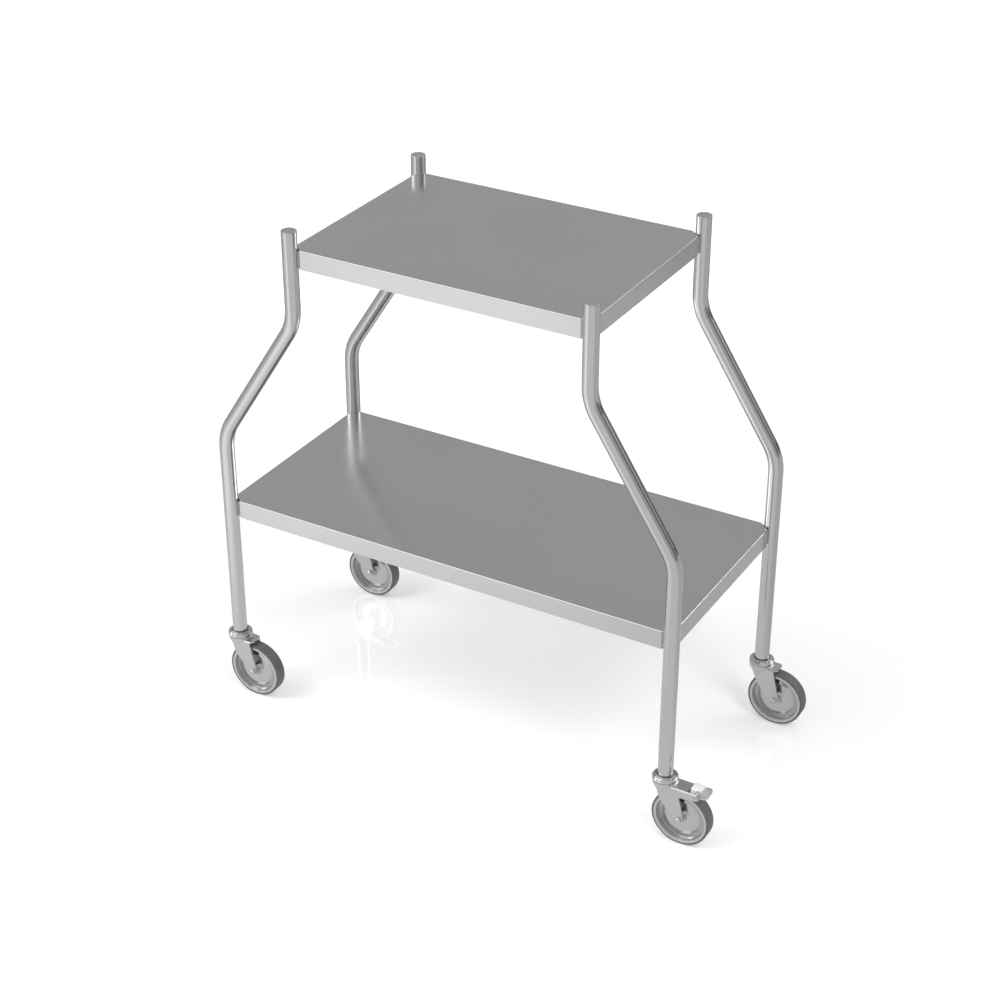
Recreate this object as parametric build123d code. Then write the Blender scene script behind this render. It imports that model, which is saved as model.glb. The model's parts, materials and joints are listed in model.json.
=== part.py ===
from build123d import *
import math
import os

os.makedirs("parts", exist_ok=True)

# Frame sizes, in millimetres
frame_height = 900.0        # floor to the tops of the post caps
frame_depth = 400.0         # over the posts, front to back
upper_length = 550.0        # over the upper runs of the posts
lower_length = 850.0        # over the lower runs of the posts
tube_diameter = 25.0
tube_wall = 1.5
upper_bend_drop = 128.0     # top shelf down to where the splayed run begins
lower_bend_rise = 126.5     # bottom shelf up to where the splayed run ends
bend_radius = 90.0          # of the tube's centre line
cap_rim = 2.5
cap_plug_length = 14.0
cap_edge = 1.0
bore_flats = 8              # hidden bores have flats, which keeps the facets few

# Shelf sizes
post_rise = 30.0            # of the posts above the top shelf
bottom_shelf_height = 382.5
shelf_edge_depth = 32.0
shelf_sheet = 1.2
fold_radius = 2.0
hem_width = 12.0
stiffener_width = 70.0
stiffener_height = 18.0
stiffener_flange = 14.0
stiffener_sheet = 1.2
stiffener_end_gap = 20.0
weld_leg = 3.0

# Caster sizes; heights are from the floor, lengths from the swivel axis
wheel_diameter = 100.0
tread_width = 21.0
tread_thickness = 6.5
rim_flats = 36              # they key the tread to the rim
trail = 33.0
rim_lip = 5.0
web_thickness = 6.0
hub_diameter = 23.0
axle_diameter = 6.0
sleeve_diameter = 10.0
axle_head_across = 10.0
axle_head_thickness = 4.0
axle_nut_thickness = 5.0
fork_gap = 25.0
fork_sheet = 2.5
fork_fold_radius = 4.0
leg_end_radius = 8.0
leg_shoulder_reach = -13.0  # the front edge's upper corner, and its height over the axle
leg_shoulder_rise = 53.0
leg_knee_reach = -1.0       # its lower corner
leg_knee_rise = 29.0
leg_top_reach = 28.0        # how far back a leg goes where it meets the plate
crown_back_reach = 14.0     # how far back the raised crown goes
waist_rise = 44.0           # of the round front's narrow end over the axle
wheel_headroom = 9.0        # from the wheel's top to the top of the fork's plate
crown_rise = 3.6            # of the crown above the plate
crown_diameter = 41.0
race_diameter = 42.0
race_height = 7.1
collar_thickness = 1.5
collar_diameter = 27.6
expander_length = 42.0
swivel_bolt_diameter = 10.0
swivel_head_across = 17.0
swivel_head_thickness = 5.0
tongue_reach = 34.5
tongue_lip = 6.0
tongue_corner = 6.0

# Brake sizes
arm_plate_reach = 46.0
arm_reach = 64.0
arm_end_radius = 7.0
arm_heel_reach = 30.0       # where the arm's lower edge leaves the leg
arm_heel_rise = 43.0        # the same, over the axle
pedal_pivot_reach = 56.0
pedal_pivot_drop = 7.5      # below the top of the fork's plate
pedal_pin_diameter = 5.0
pedal_hub_radius = 6.2
pedal_block_rise = 2.6      # of the bright block above the plate
pedal_block_width = 17.0
pedal_pad_reach = 78.5
pedal_pad_depth = 14.5
pedal_pad_width = 28.0
pedal_pad_thickness = 4.5
pedal_rib_count = 5
pedal_rib_height = 0.8
cam_nose_radius = 2.8
cam_nose_reach = 3.2
cam_rest_angle = 60.0
shoe_thickness = 1.4
shoe_width = 19.0
shoe_lift = 1.4
shoe_pivot_reach = 30.0
shoe_end_reach = 63.0

# Clearances
running_gap = 0.05          # a shaft in its own hole, on the radius
seat_gap = 0.05             # pieces pushed or welded together
moving_gap = 0.35           # pieces of different moving bodies
race_gap = 0.8              # between the race cup and the crown's rim

# Worked out from the sizes above
tube_radius = tube_diameter / 2
tube_bore_radius = tube_radius - tube_wall
post_y = frame_depth / 2 - tube_radius
upper_x = upper_length / 2 - tube_radius
lower_x = lower_length / 2 - tube_radius
post_top = frame_height - cap_rim
top_shelf_height = frame_height - post_rise
upper_bend_height = top_shelf_height - upper_bend_drop
lower_bend_height = bottom_shelf_height + lower_bend_rise
wheel_radius = wheel_diameter / 2
axle_height = wheel_radius
plate_height = wheel_diameter + wheel_headroom
crown_height = plate_height + crown_rise
pedal_pivot_height = plate_height - pedal_pivot_drop
pedal_block_height = plate_height + pedal_block_rise
axle_radius = axle_diameter / 2
sleeve_radius = sleeve_diameter / 2
fork_inside = fork_gap / 2
fork_outside = fork_inside + fork_sheet
plate_underside = plate_height - fork_sheet
crown_radius = crown_diameter / 2
race_radius = race_diameter / 2
race_bottom = crown_height + race_gap
race_top = race_bottom + race_height
tube_end_height = race_top + collar_thickness
swivel_bolt_radius = swivel_bolt_diameter / 2
bore_corner_radius = tube_bore_radius / math.cos(math.pi / bore_flats)
past = 2 * frame_height     # length of a cutter that runs past whatever it cuts

# The origin lies on the floor under the middle of the whole cart. All casters
# trail towards +X, so that middle is a little to the right of the shelves'.
reach_right = lower_x + max(trail + wheel_radius, pedal_pad_reach)
reach_left = lower_x + max(race_radius, wheel_radius - trail)
origin_shift = (reach_left - reach_right) / 2

corners = {
    "front_left": (-1, -1),
    "front_right": (1, -1),
    "back_left": (-1, 1),
    "back_right": (1, 1),
}
braked = ("front_right", "back_left")
written = []


def save(piece, node, x=0.0, y=0.0):
    """Move a piece, or a group of like pieces, to its place on the cart and write it."""
    if isinstance(piece, list):
        piece = Compound(children=piece)
    placed = Pos(x + origin_shift, y, 0) * piece
    placed.label = node
    export_step(placed, f"parts/{node}.step")
    written.append(node)


def turned(*points):
    """Turn a closed outline of (radius, height) points about the Z axis."""
    return revolve(Plane.XZ * make_face(Polyline(*points, close=True)), Axis.Z)


def turned_on_axle(*points):
    """Turn a closed outline of (radius, distance along the axle) points about the axle."""
    return Pos(trail, 0, axle_height) * Rot(-90, 0, 0) * turned(*points)


def across(outline, low_y, high_y):
    """Extrude a side view, drawn in the XZ plane, from low_y to high_y."""
    return Pos(0, high_y, 0) * extrude(Plane.XZ * make_face(outline), high_y - low_y)


def pin(radius, x, z, half_length):
    """A round pin, or the cutter for its hole, lying across the caster."""
    return Pos(x, 0, z) * Rot(90, 0, 0) * Cylinder(radius, 2 * half_length)


def flat_sided(radius, bottom, top):
    """A plug for the posts' bore, with the same flats."""
    corner_radius = radius / math.cos(math.pi / bore_flats)
    return Pos(0, 0, bottom) * extrude(RegularPolygon(corner_radius, bore_flats), top - bottom)


def hexagon(across_flats, thickness):
    """A bolt head or nut, standing on z = 0."""
    return extrude(RegularPolygon(across_flats / math.sqrt(3), 6), thickness)


def hex_bar(across_flats, half_length):
    """The bolt's six-sided neck, or the cutter for its hole, lying across the wheel."""
    bar = hexagon(across_flats, 2 * half_length)
    return Pos(trail, half_length, axle_height) * Rot(90, 0, 0) * bar


def rim_prism(flat_radius, half_length):
    """A many-sided drum about the axle: the rim's outside, or the cutter for the tread's bore."""
    drum = extrude(RegularPolygon(flat_radius / math.cos(math.pi / rim_flats), rim_flats), 2 * half_length)
    return Pos(trail, half_length, axle_height) * Rot(90, 0, 0) * drum


# Frame


def post(side_x, side_y):
    """A post: upright, splayed outwards, upright again, as one bent tube."""
    y = side_y * post_y
    line = FilletPolyline(
        (side_x * upper_x, y, post_top),
        (side_x * upper_x, y, upper_bend_height),
        (side_x * lower_x, y, lower_bend_height),
        (side_x * lower_x, y, tube_end_height),
        radius=bend_radius,
    )
    mouth = Plane((side_x * upper_x, y, post_top), z_dir=(0, 0, -1))
    outside = sweep(mouth * Circle(tube_radius), path=line)
    bore = sweep(mouth * RegularPolygon(bore_corner_radius, bore_flats), path=line)
    return outside - bore


def post_cap(side_x, side_y):
    """A flat cap with its rim's edge broken, on a plug that fills the tube's mouth."""
    rim = Pos(0, 0, cap_rim / 2) * Cylinder(tube_radius, cap_rim)
    rim = chamfer(rim.edges().group_by(Axis.Z)[-1], cap_edge)
    plug = flat_sided(tube_bore_radius - seat_gap, -cap_plug_length, 0)
    return Pos(side_x * upper_x, side_y * post_y, post_top) * (rim + plug)


def shelf_outline(half_x, inset):
    """The shelf's plan, its edges on the posts' centre lines and its corners cut off
    where they meet the posts, all set in by inset."""
    x = half_x - inset
    y = post_y - inset
    cut = (tube_radius + seat_gap) * math.sqrt(2) - inset * (2 - math.sqrt(2))
    points = [
        (x - cut, -y),
        (x, cut - y),
        (x, y - cut),
        (x - cut, y),
        (cut - x, y),
        (-x, y - cut),
        (-x, cut - y),
        (cut - x, -y),
    ]
    return make_face(Polyline(*points, close=True))


def shelf(half_x, top):
    """A folded tray turned upside down: flat top, turned-down edge, hem turned in."""
    body = extrude(shelf_outline(half_x, 0), -shelf_edge_depth)
    body = fillet(body.edges().group_by(Axis.Z)[-1], fold_radius)
    hollow_depth = shelf_edge_depth - 2 * shelf_sheet
    hollow = Pos(0, 0, -shelf_sheet) * extrude(shelf_outline(half_x, shelf_sheet), -hollow_depth)
    mouth = Pos(0, 0, -hollow_depth) * extrude(shelf_outline(half_x, hem_width), -shelf_edge_depth)
    return Pos(0, 0, top) * (body - hollow - mouth)


def stiffener(half_x, top):
    """A hat-section rail under the shelf, its two flanges against the sheet."""
    length = 2 * (half_x - shelf_sheet - stiffener_end_gap)
    half = stiffener_width / 2
    sheet = stiffener_sheet
    channel = half - stiffener_flange
    outline = Polyline(
        (-half, 0),
        (-channel - sheet, 0),
        (-channel, -stiffener_height),
        (channel, -stiffener_height),
        (channel + sheet, 0),
        (half, 0),
        (half, -sheet),
        (channel + 2 * sheet, -sheet),
        (channel + sheet, -stiffener_height - sheet),
        (-channel - sheet, -stiffener_height - sheet),
        (-channel - 2 * sheet, -sheet),
        (-half, -sheet),
        close=True,
    )
    rail = extrude(Plane.YZ * make_face(outline), length)
    return Pos(-length / 2, 0, top - shelf_sheet - seat_gap) * rail


def corner_welds(half_x, top):
    """Two upright fillet welds at each shelf corner, between its cut face and the post."""
    beads = []
    tall = shelf_edge_depth - 2 * fold_radius
    face = tube_radius + seat_gap
    root = math.sqrt(2 * tube_radius * weld_leg - weld_leg**2)
    for side_x, side_y in corners.values():
        turn = math.degrees(math.atan2(-side_y, -side_x))
        place = Pos(side_x * half_x, side_y * post_y, top - shelf_edge_depth / 2) * Rot(0, 0, turn)
        for side in (-1, 1):
            wedge = make_face(Polyline(
                (face - seat_gap, 0),
                (face - seat_gap, side * root),
                (face - weld_leg, side * root),
                close=True,
            ))
            bead = Pos(0, 0, -tall / 2) * extrude(wedge, tall)
            beads.extend((place * (bead - Cylinder(tube_radius, 2 * tall))).solids())
    return beads


# Casters


def expander():
    """The plug that grips inside the tube, with the collar under the tube's end."""
    collar_bottom = tube_end_height - collar_thickness
    collar = Pos(0, 0, tube_end_height - collar_thickness / 2) * Cylinder(collar_diameter / 2, collar_thickness)
    grip = flat_sided(tube_bore_radius - seat_gap, tube_end_height, tube_end_height + expander_length)
    hole = Pos(0, 0, collar_bottom) * Cylinder(swivel_bolt_radius + seat_gap, 4 * expander_length)
    return collar + grip - hole


def swivel_bolt():
    """The kingpin: its head under the fork's crown, its shank up through the expander."""
    head_top = plate_underside - moving_gap
    shank_top = tube_end_height + expander_length + 2
    length = shank_top - head_top
    head = Pos(0, 0, head_top - swivel_head_thickness) * hexagon(swivel_head_across, swivel_head_thickness)
    return head + Pos(0, 0, head_top + length / 2) * Cylinder(swivel_bolt_radius, length)


def upper_race():
    """The pressed cup that the post stands on and that the fork turns under."""
    flat_radius = collar_diameter / 2 + 0.6
    bore = swivel_bolt_radius + seat_gap
    return turned(
        (bore, race_top),
        (flat_radius, race_top),
        (race_radius - 1.6, race_top - 1.7),
        (race_radius, race_top - 3.6),
        (race_radius, race_bottom),
        (bore, race_bottom),
    )


def leg_tangent(start, side):
    """Where a line from start touches the leg's round end; side is -1 in front, 1 behind."""
    along_x = trail - start[0]
    along_z = axle_height - start[1]
    distance = math.hypot(along_x, along_z)
    heading = math.atan2(along_z, along_x) + side * math.asin(leg_end_radius / distance)
    length = math.sqrt(distance**2 - leg_end_radius**2)
    return (start[0] + length * math.cos(heading), start[1] + length * math.sin(heading))


def leg_outline(top, rear_x):
    """Side view of a fork leg: two edges running down to a round end about the axle."""
    shoulder = (leg_shoulder_reach, axle_height + leg_shoulder_rise)
    knee = (leg_knee_reach, axle_height + leg_knee_rise)
    rear_top = (rear_x, plate_underside)
    heel = leg_tangent(knee, -1)
    toe = leg_tangent(rear_top, 1)
    lowest = (trail, axle_height - leg_end_radius)
    round_end = ThreePointArc(heel, lowest, toe)
    edges = Polyline(
        toe,
        rear_top,
        (rear_x, top),
        (-crown_radius, top),
        (-crown_radius, plate_underside),
        shoulder,
        knee,
        heel,
    )
    return Wire(round_end.edges() + edges.edges())


def arm_outline():
    """Side view of the braked fork's arms, which carry the pedal's pin at their round end."""
    tip = arm_reach - arm_end_radius
    return Polyline(
        (0, plate_height),
        (tip, plate_height),
        (arm_reach - 2, plate_height - 2),
        (arm_reach, plate_height - arm_end_radius),
        (arm_reach - 2, pedal_pivot_height - arm_end_radius / 2),
        (tip, pedal_pivot_height - arm_end_radius + 2),
        (arm_heel_reach, axle_height + arm_heel_rise),
        (0, axle_height + arm_heel_rise),
        close=True,
    )


def tongue():
    """The short rear tongue of an unbraked fork, its corners cut and its end turned down."""
    width = 2 * fork_outside
    plate = Pos(tongue_reach / 2, 0, plate_height - fork_sheet / 2) * Box(tongue_reach, width, fork_sheet)
    lip_x = tongue_reach - fork_sheet / 2
    lip = Pos(lip_x, 0, plate_height - tongue_lip / 2) * Box(fork_sheet, width, tongue_lip)
    body = plate + lip
    upright = body.edges().filter_by(Axis.Z).group_by(Axis.X)[-1]
    return chamfer(upright, tongue_corner)


def skirt(radius, waist_radius):
    """The round front of the fork's pressing, drawn in from the crown to the legs' width."""
    waist = axle_height + waist_rise
    return turned(
        (0, crown_height),
        (radius, crown_height),
        (radius, plate_underside),
        (waist_radius, waist),
        (waist_radius, 0),
        (0, 0),
    )


def fork(with_brake):
    """The pressed fork: crown, two tapering legs, and a tongue or long arms behind."""
    blank = across(leg_outline(plate_height, leg_top_reach), -fork_outside, fork_outside)
    blank = blank + (across(arm_outline(), -fork_outside, fork_outside) if with_brake else tongue())
    long_edges = blank.edges().filter_by(Axis.X).group_by(Axis.Z)[-1]
    blank = fillet(long_edges, fork_fold_radius)
    behind = Pos(past / 2, 0, 0) * Box(past, 2 * fork_outside, past)
    blank = blank & (Cylinder(fork_outside, past) + behind)
    front = across(leg_outline(crown_height, crown_back_reach), -crown_radius, crown_radius)
    rim_height = crown_height - plate_underside
    rim = Pos(0, 0, plate_underside + rim_height / 2) * Cylinder(crown_radius, rim_height)
    blank = blank + (skirt(crown_radius, fork_outside) & front) + rim
    hollow = Pos(past / 2, 0, plate_underside / 2) * Box(past, fork_gap, plate_underside)
    front_hollow = extrude(RegularPolygon(fork_inside, bore_flats), plate_underside)
    blank = blank - hollow - front_hollow
    if with_brake:
        open_end = Pos(arm_plate_reach + past / 2, 0, plate_height) * Box(past, fork_gap, 4 * fork_sheet)
        hole = pin(pedal_pin_diameter / 2 + running_gap, pedal_pivot_reach, pedal_pivot_height, fork_gap)
        blank = blank - open_end - hole
    blank = blank - Cylinder(swivel_bolt_radius + running_gap, 4 * plate_height)
    return blank - hex_bar(axle_diameter + 2 * seat_gap, fork_gap)


def axle():
    """The axle bolt: head, neck with flats in the legs, spacer sleeve between them, and nut."""
    head = Pos(0, -fork_outside, 0) * Rot(90, 0, 0) * hexagon(axle_head_across, axle_head_thickness)
    nut = Pos(0, fork_outside, 0) * Rot(-90, 0, 0) * hexagon(axle_head_across, axle_nut_thickness)
    sleeve = pin(sleeve_radius, 0, 0, fork_inside)
    return hex_bar(axle_diameter, fork_outside) + Pos(trail, 0, axle_height) * (head + nut + sleeve)


def wheel_centre():
    """Rim, dished web and hub, turned as one outline; the rim's outside has flats."""
    rim_radius = wheel_radius - tread_thickness
    lip_radius = rim_radius - rim_lip
    hub_radius = hub_diameter / 2
    bore = sleeve_radius + running_gap
    rim_half = tread_width / 2
    web_half = web_thickness / 2
    hub_half = fork_inside - moving_gap
    half_outline = [
        (bore, hub_half),
        (hub_radius, hub_half),
        (hub_radius, web_half),
        (lip_radius, web_half),
        (lip_radius, rim_half),
        (wheel_radius, rim_half),
    ]
    other_half = [(radius, -y) for radius, y in reversed(half_outline)]
    return turned_on_axle(*half_outline, *other_half) & rim_prism(rim_radius, fork_gap)


def tread():
    """The tyre, seated on the rim's flats."""
    tyre = pin(wheel_radius, trail, axle_height, tread_width / 2)
    return tyre - rim_prism(wheel_radius - tread_thickness + seat_gap, fork_gap)


# Brakes


def brake_pedal():
    """The lever: hub and cam on the pin, block above, ribbed foot pad behind."""
    hub_half = fork_inside - moving_gap
    block_front = arm_plate_reach + moving_gap + 0.8
    pad_front = pedal_pad_reach - pedal_pad_depth
    pad_top = plate_height
    hub = pin(pedal_hub_radius, pedal_pivot_reach, pedal_pivot_height, hub_half)
    hub = hub & Pos(pedal_pivot_reach, 0, pedal_pivot_height - 1) * Box(
        past, past, past, align=(Align.CENTER, Align.CENTER, Align.MIN))
    nose_heading = math.radians(cam_rest_angle)
    nose_x = pedal_pivot_reach + cam_nose_reach * math.sin(nose_heading)
    nose_z = pedal_pivot_height - cam_nose_reach * math.cos(nose_heading)
    nose = pin(cam_nose_radius, nose_x, nose_z, shoe_width / 2)
    length = pad_front + 1 - block_front
    on_pivot = Pos(block_front, 0, pedal_pivot_height)
    corner = (Align.MIN, Align.CENTER, Align.MIN)
    block = Pos(0, hub_half - pedal_block_width / 2, 0) * Box(
        length, pedal_block_width, pedal_block_height - pedal_pivot_height, align=corner)
    ledge = Box(length, 2 * hub_half, pedal_block_height - pedal_pivot_height - 4, align=corner)
    pad_plan = Pos(pedal_pad_reach - pedal_pad_depth / 2, 0) * RectangleRounded(
        pedal_pad_depth, pedal_pad_width, pedal_pad_depth / 2 - 1)
    pad = Pos(0, 0, pad_top - pedal_pad_thickness) * extrude(pad_plan, pedal_pad_thickness)
    lever = hub + nose + on_pivot * (block + ledge) + pad
    rib_pitch = (pedal_pad_depth - 4) / pedal_rib_count
    for index in range(pedal_rib_count):
        rib_x = pad_front + 2 + rib_pitch * (index + 0.5)
        rib = Box(rib_pitch / 2, pedal_pad_width - 8, 2 * pedal_rib_height)
        lever = lever + Pos(rib_x, 0, pad_top) * rib
    return lever - pin(pedal_pin_diameter / 2 + running_gap, pedal_pivot_reach, pedal_pivot_height, fork_gap)


def pedal_pin():
    """The pin that the pedal turns on, headed over outside both arms."""
    radius = pedal_pin_diameter / 2
    shank = pin(radius, pedal_pivot_reach, pedal_pivot_height, fork_outside)
    head = Pos(pedal_pivot_reach, 0, pedal_pivot_height) * Rot(90, 0, 0) * extrude(
        RegularPolygon(radius + 1.5, bore_flats), 1.5)
    return shank + Pos(0, -fork_outside, 0) * head + Pos(0, fork_outside + 1.5, 0) * head


def brake_shoe():
    """A steel strip hung under the arm's plate, curved over the tread under the cam."""
    inner = wheel_radius + shoe_lift
    outer = inner + shoe_thickness
    start = math.acos((shoe_pivot_reach + 8 - trail) / outer)
    finish = math.acos((shoe_end_reach - trail) / outer)
    middle = (start + finish) / 2

    def on(radius, heading):
        return (trail + radius * math.cos(heading), axle_height + radius * math.sin(heading))

    tab_top = plate_underside - moving_gap
    tab_low = tab_top - shoe_thickness
    tab_front = shoe_pivot_reach - 4
    under = ThreePointArc(on(inner, start), on(inner, middle), on(inner, finish))
    tip = Line(on(inner, finish), on(outer, finish))
    over = ThreePointArc(on(outer, finish), on(outer, middle), on(outer, start))
    tab = Polyline(
        on(outer, start),
        (shoe_pivot_reach + 4, tab_top),
        (tab_front, tab_top),
        (tab_front, tab_low),
        (shoe_pivot_reach + 3, tab_low),
        on(inner, start),
    )
    outline = Wire(under.edges() + tip.edges() + over.edges() + tab.edges())
    return across(outline, -shoe_width / 2, shoe_width / 2)


# Write every piece

save(shelf(upper_x, top_shelf_height), "top_shelf")
save(shelf(lower_x, bottom_shelf_height), "bottom_shelf")
save(stiffener(upper_x, top_shelf_height), "top_shelf_stiffener")
save(stiffener(lower_x, bottom_shelf_height), "bottom_shelf_stiffener")
save(corner_welds(upper_x, top_shelf_height) + corner_welds(lower_x, bottom_shelf_height), "corner_welds")
save([post_cap(*sides) for sides in corners.values()], "post_caps")
under_posts = [Pos(side_x * lower_x, side_y * post_y, 0) for side_x, side_y in corners.values()]
save([place * expander() for place in under_posts], "expanders")
save([place * upper_race() for place in under_posts], "upper_races")
save([place * swivel_bolt() for place in under_posts], "swivel_bolts")

for corner, (side_x, side_y) in corners.items():
    save(post(side_x, side_y), f"post_{corner}")
    pieces = {
        "fork": fork(corner in braked),
        "axle": axle(),
        "wheel_centre": wheel_centre(),
        "tread": tread(),
    }
    if corner in braked:
        pieces["brake_pedal"] = brake_pedal()
        pieces["pedal_pin"] = pedal_pin()
        pieces["brake_shoe"] = brake_shoe()
    for name, piece in pieces.items():
        save(piece, f"{name}_{corner}", side_x * lower_x, side_y * post_y)

print(len(written), "nodes; origin moved by", round(origin_shift, 3), "mm along X")
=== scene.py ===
# %% [markdown]
# # A stainless service cart
# This lesson dresses a finished CAD model of a two-tier steel cart. The model already holds
# the exact posts, shelves and casters, so nothing here changes a size. The lesson adds what
# CAD leaves out: brushed metal, rubber, small fasteners, bearing balls, weld ripples and soft
# studio light.

import json
import math

import bmesh
import bpy
from mathutils import Matrix, Vector


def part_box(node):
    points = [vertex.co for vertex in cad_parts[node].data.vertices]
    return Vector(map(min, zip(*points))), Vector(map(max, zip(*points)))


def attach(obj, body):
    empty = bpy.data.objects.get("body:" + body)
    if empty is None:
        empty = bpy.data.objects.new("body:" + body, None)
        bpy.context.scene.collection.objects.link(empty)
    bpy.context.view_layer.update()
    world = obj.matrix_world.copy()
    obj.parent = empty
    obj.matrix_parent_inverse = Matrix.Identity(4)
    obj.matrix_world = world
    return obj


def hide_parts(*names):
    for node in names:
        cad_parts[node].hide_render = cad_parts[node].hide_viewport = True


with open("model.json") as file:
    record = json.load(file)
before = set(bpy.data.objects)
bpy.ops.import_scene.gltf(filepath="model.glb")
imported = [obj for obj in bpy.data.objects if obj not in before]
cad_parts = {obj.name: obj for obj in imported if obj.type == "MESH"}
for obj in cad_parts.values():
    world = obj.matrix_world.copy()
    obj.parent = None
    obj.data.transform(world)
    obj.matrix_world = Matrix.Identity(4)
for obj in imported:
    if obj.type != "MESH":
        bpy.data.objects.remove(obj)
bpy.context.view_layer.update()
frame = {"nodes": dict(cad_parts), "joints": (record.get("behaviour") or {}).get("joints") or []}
scene = bpy.context.scene
nodes = frame["nodes"]
slot_of = {name: piece.data.materials[0].name for name, piece in nodes.items()}

# %% [markdown]
# ## Sizes, read from the model
# The main sizes could be typed again, but then they would stay behind when the model changes.
# So they are read from it. From these come the four swivel axes, the wheels' centres and
# sizes, and the tube's radius. Blender works in metres, while small parts are easier to think
# of in millimetres, so `MM` turns one into the other.

# %% Where the casters are
MM = 0.001
CORNERS = ("front_left", "front_right", "back_left", "back_right")
BRAKED = ("front_right", "back_left")
joints = {joint["name"]: Vector(joint["pos_m"]) for joint in frame["joints"]}
swivel = {corner: joints[f"swivel_{corner}"] for corner in CORNERS}
hub = {corner: joints[f"roll_{corner}"] for corner in CORNERS}
centre_x = (swivel["front_left"].x + swivel["front_right"].x) / 2
trail = (hub["front_left"].x - swivel["front_left"].x) / MM
print("each wheel trails its swivel by", round(trail, 1), "mm")

# %% How large wheels and tubes are
wheel_radius = hub["front_left"].z / MM
low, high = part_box("tread_front_left")
wheel_half = (high.y - low.y) / 2 / MM
tube_radius = (swivel["front_left"].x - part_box("post_front_left")[0].x) / MM
print("wheel radius", round(wheel_radius, 1), "half width", round(wheel_half, 1),
      "tube radius", round(tube_radius, 1), "mm")

# %% [markdown]
# ## Shader maths as plain Python
# A procedural finish is mostly arithmetic on numbers that change over the surface. Wiring
# every sum by hand hides the idea, so one small class wraps a socket and turns the usual
# operators into Math nodes. Plain numbers stay plain until they meet a socket. The class's
# method `new` makes any other node, here and in the Geometry Nodes further down.

# %% What goes into a socket


def feed(tree, socket, value):
    """Give a socket a link or a plain value; a plain colour gets its alpha."""
    if isinstance(value, Flow):
        tree.links.new(value.socket, socket)
    elif socket.type == "RGBA":
        socket.default_value = (*value, 1)
    else:
        socket.default_value = value


print("sockets can be fed")

# %% A socket that does arithmetic


class Flow:
    """An output socket in a node tree, with arithmetic."""

    def __init__(self, tree, socket):
        self.tree = tree
        self.socket = socket

    @staticmethod
    def new(tree, kind, settings=None, values=None, out=0):
        """Add a node: its settings first, then the values or links of its sockets."""
        made = tree.nodes.new(kind)
        for name, value in (settings or {}).items():
            setattr(made, name, value)
        for name, value in (values or {}).items():
            feed(tree, made.inputs[name], value)
        return Flow(tree, made.outputs[out]) if made.outputs else None

    def math(self, operation, *values):
        return Flow.new(self.tree, "ShaderNodeMath", {"operation": operation},
                        dict(enumerate(values)))

    def __add__(self, other):
        return self.math("ADD", self, other)

    def __radd__(self, other):
        return self.math("ADD", other, self)

    def __sub__(self, other):
        return self.math("SUBTRACT", self, other)

    def __rsub__(self, other):
        return self.math("SUBTRACT", other, self)

    def __mul__(self, other):
        return self.math("MULTIPLY", self, other)

    def __rmul__(self, other):
        return self.math("MULTIPLY", other, self)

    def __abs__(self):
        return self.math("ABSOLUTE", self)

    def between(self, low, high):
        """0 below low, 1 above high, and a smooth step from one to the other."""
        return Flow.new(self.tree, "ShaderNodeMapRange", {"interpolation_type": "SMOOTHSTEP"},
                        {"Value": self, "From Min": low, "From Max": high})


print("shader arithmetic ready")

# %% [markdown]
# ## One way to start every finish
# A finish could be a picture wrapped round the piece, but a picture has seams and one size.
# Here each finish is a recipe on an empty tree: it gets the surface's own coordinates and
# returns what differs from a plain surface. Object coordinates are used throughout. Every
# piece sits at the origin, so they are real metres on the cart, and a pattern keeps its scale
# from piece to piece.

# %% A material from a recipe


def empty_tree(owner):
    """The node tree of a material or a world, with nothing in it."""
    owner.use_nodes = True
    owner.node_tree.nodes.clear()
    return owner.node_tree


def finish(name, recipe, metallic):
    """Build a material: the recipe gives the sockets that vary over the surface."""
    material = bpy.data.materials.new(name)
    tree = empty_tree(material)
    place = Flow.new(tree, "ShaderNodeTexCoord", out="Object")
    shader = Flow.new(tree, "ShaderNodeBsdfPrincipled",
                      values={"Metallic": metallic, **recipe(tree, place)})
    Flow.new(tree, "ShaderNodeOutputMaterial", values={"Surface": shader})
    return material


def grain(tree, place, scale, detail=2.0):
    """Noise stretched by a different scale along each axis; about 0 to 1, middle 0.5."""
    stretched = Flow.new(tree, "ShaderNodeMapping", values={"Vector": place, "Scale": scale})
    return Flow.new(tree, "ShaderNodeTexNoise",
                    values={"Vector": stretched, "Scale": 1.0, "Detail": detail})


def mottle(tree, place, scale, detail=2.0):
    """Noise without a direction."""
    return grain(tree, place, (scale, scale, scale), detail)


def grey(tree, level, tint):
    """A colour whose brightness varies: level times tint. Output 2 is the mixed colour."""
    return Flow.new(tree, "ShaderNodeMix", {"data_type": "RGBA"},
                    {"Factor": level, "A": (0, 0, 0), "B": tint}, out=2)


def relief(tree, height, strength, distance):
    """A shallow bump from a height."""
    return Flow.new(tree, "ShaderNodeBump",
                    values={"Strength": strength, "Distance": distance, "Height": height})


print("recipes ready")

# %% [markdown]
# ## Brushed, satin and plain steel
# Stainless sheet shows fine lines along its rolling direction. They could be modelled as
# grooves, but they are far too small. Noise that is stretched a hundred times along one axis
# gives them, and it drives roughness and a very shallow bump more than colour, because on
# metal the eye reads the change of gloss. Tubes are polished along their length, so their
# lines run along Z, while pressings are tumbled and get a soft grain without direction.

# %% The steels
SHADE_RANGE = 0.05
GLOSS_RANGE = 0.06
CLOUD_SCALE = 3.0
STEEL_TINT = (0.985, 0.99, 1.0)
SCRATCH_DEPTH = 0.5 * MM


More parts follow.
